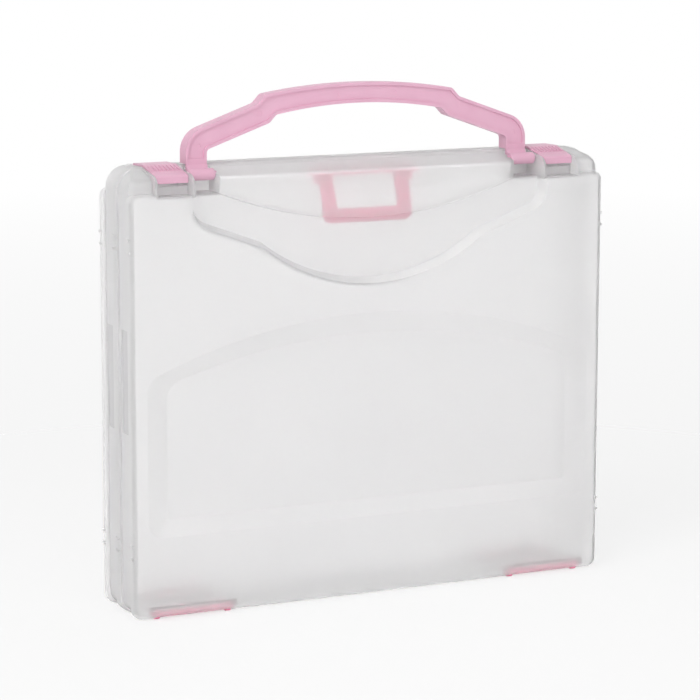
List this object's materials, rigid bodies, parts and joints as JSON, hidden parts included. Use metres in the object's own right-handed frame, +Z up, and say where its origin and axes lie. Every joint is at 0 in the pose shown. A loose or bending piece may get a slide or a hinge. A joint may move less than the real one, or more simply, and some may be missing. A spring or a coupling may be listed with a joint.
{
  "type": "document carry case",
  "caption": "Slim upright plastic document case of two hinged shells, with a fold-down carry handle, flip latches, double-pivot hinge plates and an inner paper clip.",
  "frame": {"origin": "on the table, under the middle of the closed case standing on its hinge edge", "axes": "+X to the right of the front shell, +Y from the front shell to the back shell, +Z up towards the handle"},
  "size_m": [0.3314, 0.055, 0.3284],
  "materials": {
    "frosted_shell": "frosted translucent polypropylene, satin",
    "pink_fitting": "satin translucent pink polypropylene",
    "pink_clip": "smooth deep pink plastic"
  },
  "bodies": {
    "case_back": {"back_shell": "frosted_shell"},
    "hinge_link": {"hinge_plate_right": "pink_fitting", "hinge_plate_left": "pink_fitting"},
    "lid": {"front_shell": "frosted_shell", "clip_bracket": "pink_clip"},
    "carry_handle": {"handle": "pink_fitting"},
    "right_latch": {"latch_right": "pink_fitting"},
    "left_latch": {"latch_left": "pink_fitting"},
    "paper_clip": {"clip_bail": "pink_clip"}
  },
  "joints": [
    {"name": "back_hinge", "type": "hinge", "parent": "case_back", "child": "hinge_link", "pos_m": [0, 0.023, 0.0032], "axis": [1, 0, 0], "range_deg": [0, 90]},
    {"name": "front_hinge", "type": "hinge", "parent": "hinge_link", "child": "lid", "pos_m": [0, -0.023, 0.0032], "axis": [1, 0, 0], "range_deg": [0, 90]},
    {"name": "handle_fold", "type": "hinge", "parent": "lid", "child": "carry_handle", "pos_m": [0, -0.01225, 0.276], "axis": [1, 0, 0], "range_deg": [0, 180]},
    {"name": "right_latch_flip", "type": "hinge", "parent": "case_back", "child": "right_latch", "pos_m": [0.13475, 0.0154, 0.2784], "axis": [-1, 0, 0], "range_deg": [0, 100]},
    {"name": "left_latch_flip", "type": "hinge", "parent": "case_back", "child": "left_latch", "pos_m": [-0.13475, 0.0154, 0.2784], "axis": [-1, 0, 0], "range_deg": [0, 100]},
    {"name": "paper_clip_swing", "type": "hinge", "parent": "lid", "child": "paper_clip", "pos_m": [0, -0.009, 0.2685], "axis": [1, 0, 0], "range_deg": [0, 60]}
  ]
}
